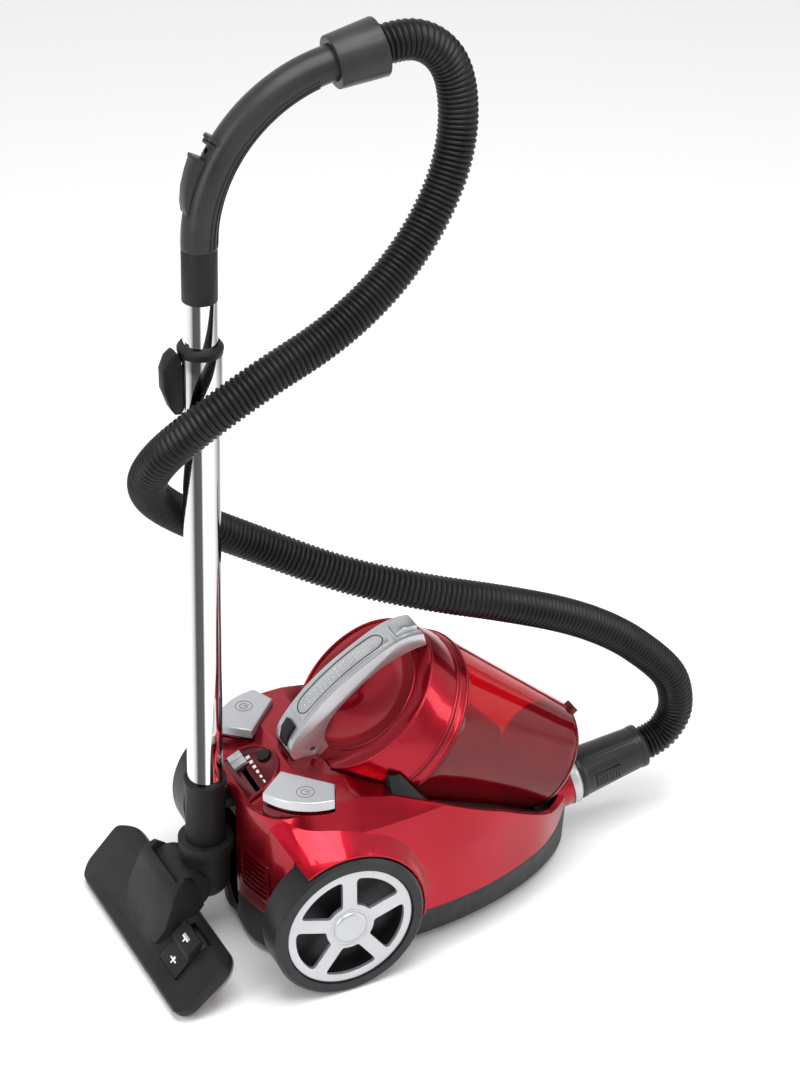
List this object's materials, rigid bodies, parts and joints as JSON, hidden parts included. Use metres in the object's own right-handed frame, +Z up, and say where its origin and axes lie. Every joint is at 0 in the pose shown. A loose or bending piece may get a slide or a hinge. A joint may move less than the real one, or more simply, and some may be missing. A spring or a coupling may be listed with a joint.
{
  "type": "canister vacuum cleaner",
  "caption": "Bagless canister vacuum cleaner on two big wheels and a caster, parked with its telescopic wand, hose and floor nozzle.",
  "frame": {"origin": "on the floor, under the middle of the machine's bounding box measured without the hose", "axes": "+Z up, -Y towards the hose inlet at the machine's nose, +Y towards the floor nozzle parked behind it"},
  "size_m": [0.2868, 0.6439, 0.9492],
  "materials": {
    "red_shell": "metallic gloss",
    "red_clear": "clear tinted plastic",
    "dark_red": "gloss",
    "black_plastic": "fine matte",
    "dark_plastic": "satin",
    "silver_plastic": "silver satin",
    "grey_plastic": "fine matte",
    "chrome_tube": "polished",
    "tyre_rubber": "matte",
    "hose_skin": "ribbed gloss",
    "steel": "bright",
    "copper": "wound wire",
    "board_green": "lacquer",
    "filter_paper": "pleated",
    "brush_fibre": "bristle"
  },
  "bodies": {
    "machine": {"chassis_pan": "black_plastic", "body_shell": "red_shell", "bin_cradle": "black_plastic", "pedal_bases": "dark_red", "control_panel": "dark_red", "exhaust_grille": "red_shell", "exhaust_filter": "filter_paper", "hose_port": "silver_plastic", "axle_stubs": "steel", "motor_housing": "grey_plastic", "motor_stator": "copper", "cord_outlet": "black_plastic", "control_board": "board_green", "chassis_screws": "steel", "parking_bracket": "black_plastic", "wand_outer_tube": "chrome_tube", "telescope_sleeve": "chrome_tube", "telescope_ring": "black_plastic", "neck_tube": "black_plastic", "neck_elbow": "black_plastic", "hose": "hose_skin"},
    "right_wheel": {"right_wheel_tyre": "tyre_rubber", "right_wheel_hub": "dark_plastic", "right_wheel_disc": "silver_plastic"},
    "left_wheel": {"left_wheel_tyre": "tyre_rubber", "left_wheel_hub": "dark_plastic", "left_wheel_disc": "silver_plastic"},
    "caster_swivel": {"caster_fork": "black_plastic"},
    "caster_roll": {"caster_wheel": "tyre_rubber"},
    "power_pedal_body": {"power_pedal": "silver_plastic"},
    "cord_pedal_body": {"cord_pedal": "silver_plastic"},
    "slider_body": {"suction_slider": "silver_plastic"},
    "button_body": {"round_button": "black_plastic"},
    "bin": {"bin_container": "red_clear", "bin_lid": "red_shell", "bin_ring": "red_shell", "carry_handle": "silver_plastic", "grip_inset": "silver_plastic", "cyclone_cone": "dark_red", "pleated_filter": "filter_paper", "bin_door": "dark_red", "door_latch": "dark_red"},
    "bin_release": {"bin_release_button": "black_plastic"},
    "door_opener": {"bin_door_button": "silver_plastic"},
    "fan": {"fan_rotor": "grey_plastic"},
    "reel": {"cord_reel": "grey_plastic"},
    "connector": {"hose_connector": "dark_plastic"},
    "clip_right": {"release_clip_right": "dark_plastic"},
    "clip_left": {"release_clip_left": "dark_plastic"},
    "upper_wand": {"wand_inner_tube": "chrome_tube", "handle_cuff": "black_plastic", "handle_grip": "dark_plastic"},
    "collar": {"swivel_collar": "dark_plastic"},
    "valve": {"air_slide": "dark_plastic"},
    "latch": {"telescope_latch": "black_plastic"},
    "nozzle": {"nozzle_cover": "black_plastic", "nozzle_sole": "grey_plastic"},
    "rocker": {"nozzle_rocker": "black_plastic"},
    "brush": {"brush_strip": "brush_fibre"},
    "rollers": {"nozzle_rollers": "grey_plastic"}
  },
  "joints": [
    {"name": "right_wheel_spin", "type": "hinge", "parent": "machine", "child": "right_wheel", "pos_m": [0, 0.1082, 0.0793], "axis": [1, 0, 0], "continuous": true},
    {"name": "left_wheel_spin", "type": "hinge", "parent": "machine", "child": "left_wheel", "pos_m": [0, 0.1082, 0.0793], "axis": [1, 0, 0], "continuous": true},
    {"name": "caster_turn", "type": "hinge", "parent": "machine", "child": "caster_swivel", "pos_m": [0, -0.1058, 0.02], "axis": [0, 0, 1], "continuous": true},
    {"name": "caster_wheel_spin", "type": "hinge", "parent": "caster_swivel", "child": "caster_roll", "pos_m": [0, -0.0968, 0.014], "axis": [1, 0, 0], "continuous": true},
    {"name": "power_pedal_press", "type": "slide", "parent": "machine", "child": "power_pedal_body", "axis": [0, 0, -1], "range_m": [0, 0.004], "stiffness_N_per_m": 900, "springref_m": -0.001},
    {"name": "cord_pedal_press", "type": "slide", "parent": "machine", "child": "cord_pedal_body", "axis": [0, 0, -1], "range_m": [0, 0.004], "stiffness_N_per_m": 900, "springref_m": -0.001},
    {"name": "suction_slide", "type": "slide", "parent": "machine", "child": "slider_body", "axis": [-1, 0, 0], "range_m": [0, 0.04]},
    {"name": "round_button_press", "type": "slide", "parent": "machine", "child": "button_body", "axis": [0, -0.44, -0.898], "range_m": [0, 0.0015], "stiffness_N_per_m": 800, "springref_m": -0.001},
    {"name": "bin_lift", "type": "slide", "parent": "machine", "child": "bin", "axis": [0, -0.5662, 0.8243], "range_m": [0, 0.014]},
    {"name": "bin_release_press", "type": "slide", "parent": "bin", "child": "bin_release", "axis": [0, -0.6428, -0.766], "range_m": [0, 0.0025], "stiffness_N_per_m": 800, "springref_m": -0.001},
    {"name": "door_button_press", "type": "slide", "parent": "bin", "child": "door_opener", "axis": [0, -0.6428, -0.766], "range_m": [0, 0.0025], "stiffness_N_per_m": 800, "springref_m": -0.001},
    {"name": "fan_spin", "type": "hinge", "parent": "machine", "child": "fan", "pos_m": [0, -0.0278, 0.053], "axis": [0, 1, 0], "continuous": true},
    {"name": "reel_spin", "type": "hinge", "parent": "machine", "child": "reel", "pos_m": [0, 0.1122, 0.072], "axis": [1, 0, 0], "continuous": true},
    {"name": "connector_swivel", "type": "hinge", "parent": "machine", "child": "connector", "pos_m": [0, -0.2068, 0.07], "axis": [0, -0.9848, 0.1736], "continuous": true},
    {"name": "clip_right_press", "type": "slide", "parent": "connector", "child": "clip_right", "axis": [1, 0, 0], "range_m": [0, 0.0012], "stiffness_N_per_m": 800, "springref_m": -0.001},
    {"name": "clip_left_press", "type": "slide", "parent": "connector", "child": "clip_left", "axis": [-1, 0, 0], "range_m": [0, 0.0012], "stiffness_N_per_m": 800, "springref_m": -0.001},
    {"name": "telescope", "type": "slide", "parent": "machine", "child": "upper_wand", "axis": [0, -0.029, 0.9996], "range_m": [0, 0.23], "deforming": ["hose"]},
    {"name": "collar_swivel", "type": "hinge", "parent": "upper_wand", "child": "collar", "pos_m": [0.007, 0.05331, 0.9146], "axis": [0, -0.9867, 0.1623], "continuous": true},
    {"name": "air_valve_slide", "type": "hinge", "parent": "upper_wand", "child": "valve", "pos_m": [0.007, 0.02842, 0.76323], "axis": [1, 0, 0], "range_deg": [0, 3.2]},
    {"name": "telescope_latch_slide", "type": "slide", "parent": "machine", "child": "latch", "axis": [0, 0.029, -0.9996], "range_m": [0, 0.005], "stiffness_N_per_m": 400, "springref_m": -0.001},
    {"name": "nozzle_pitch", "type": "hinge", "parent": "machine", "child": "nozzle", "pos_m": [0.00931, 0.22935, 0.07431], "axis": [0.999, 0.0436, 0], "range_deg": [0, 39]},
    {"name": "rocker_tilt", "type": "hinge", "parent": "nozzle", "child": "rocker", "pos_m": [-0.0638, 0.25306, 0.04004], "axis": [0.999, 0.0436, 0], "range_deg": [0, 10]},
    {"name": "brush_drop", "type": "slide", "parent": "nozzle", "child": "brush", "axis": [0.0276, -0.6328, -0.7738], "range_m": [0, 0.003]},
    {"name": "nozzle_rollers_spin", "type": "hinge", "parent": "nozzle", "child": "rollers", "pos_m": [0.00907, 0.23473, 0.04457], "axis": [0.999, 0.0436, 0], "continuous": true}
  ],
  "couplings": [
    {"joint": "brush_drop", "follows": "rocker_tilt", "m_per_rad": 0.0171}
  ]
}
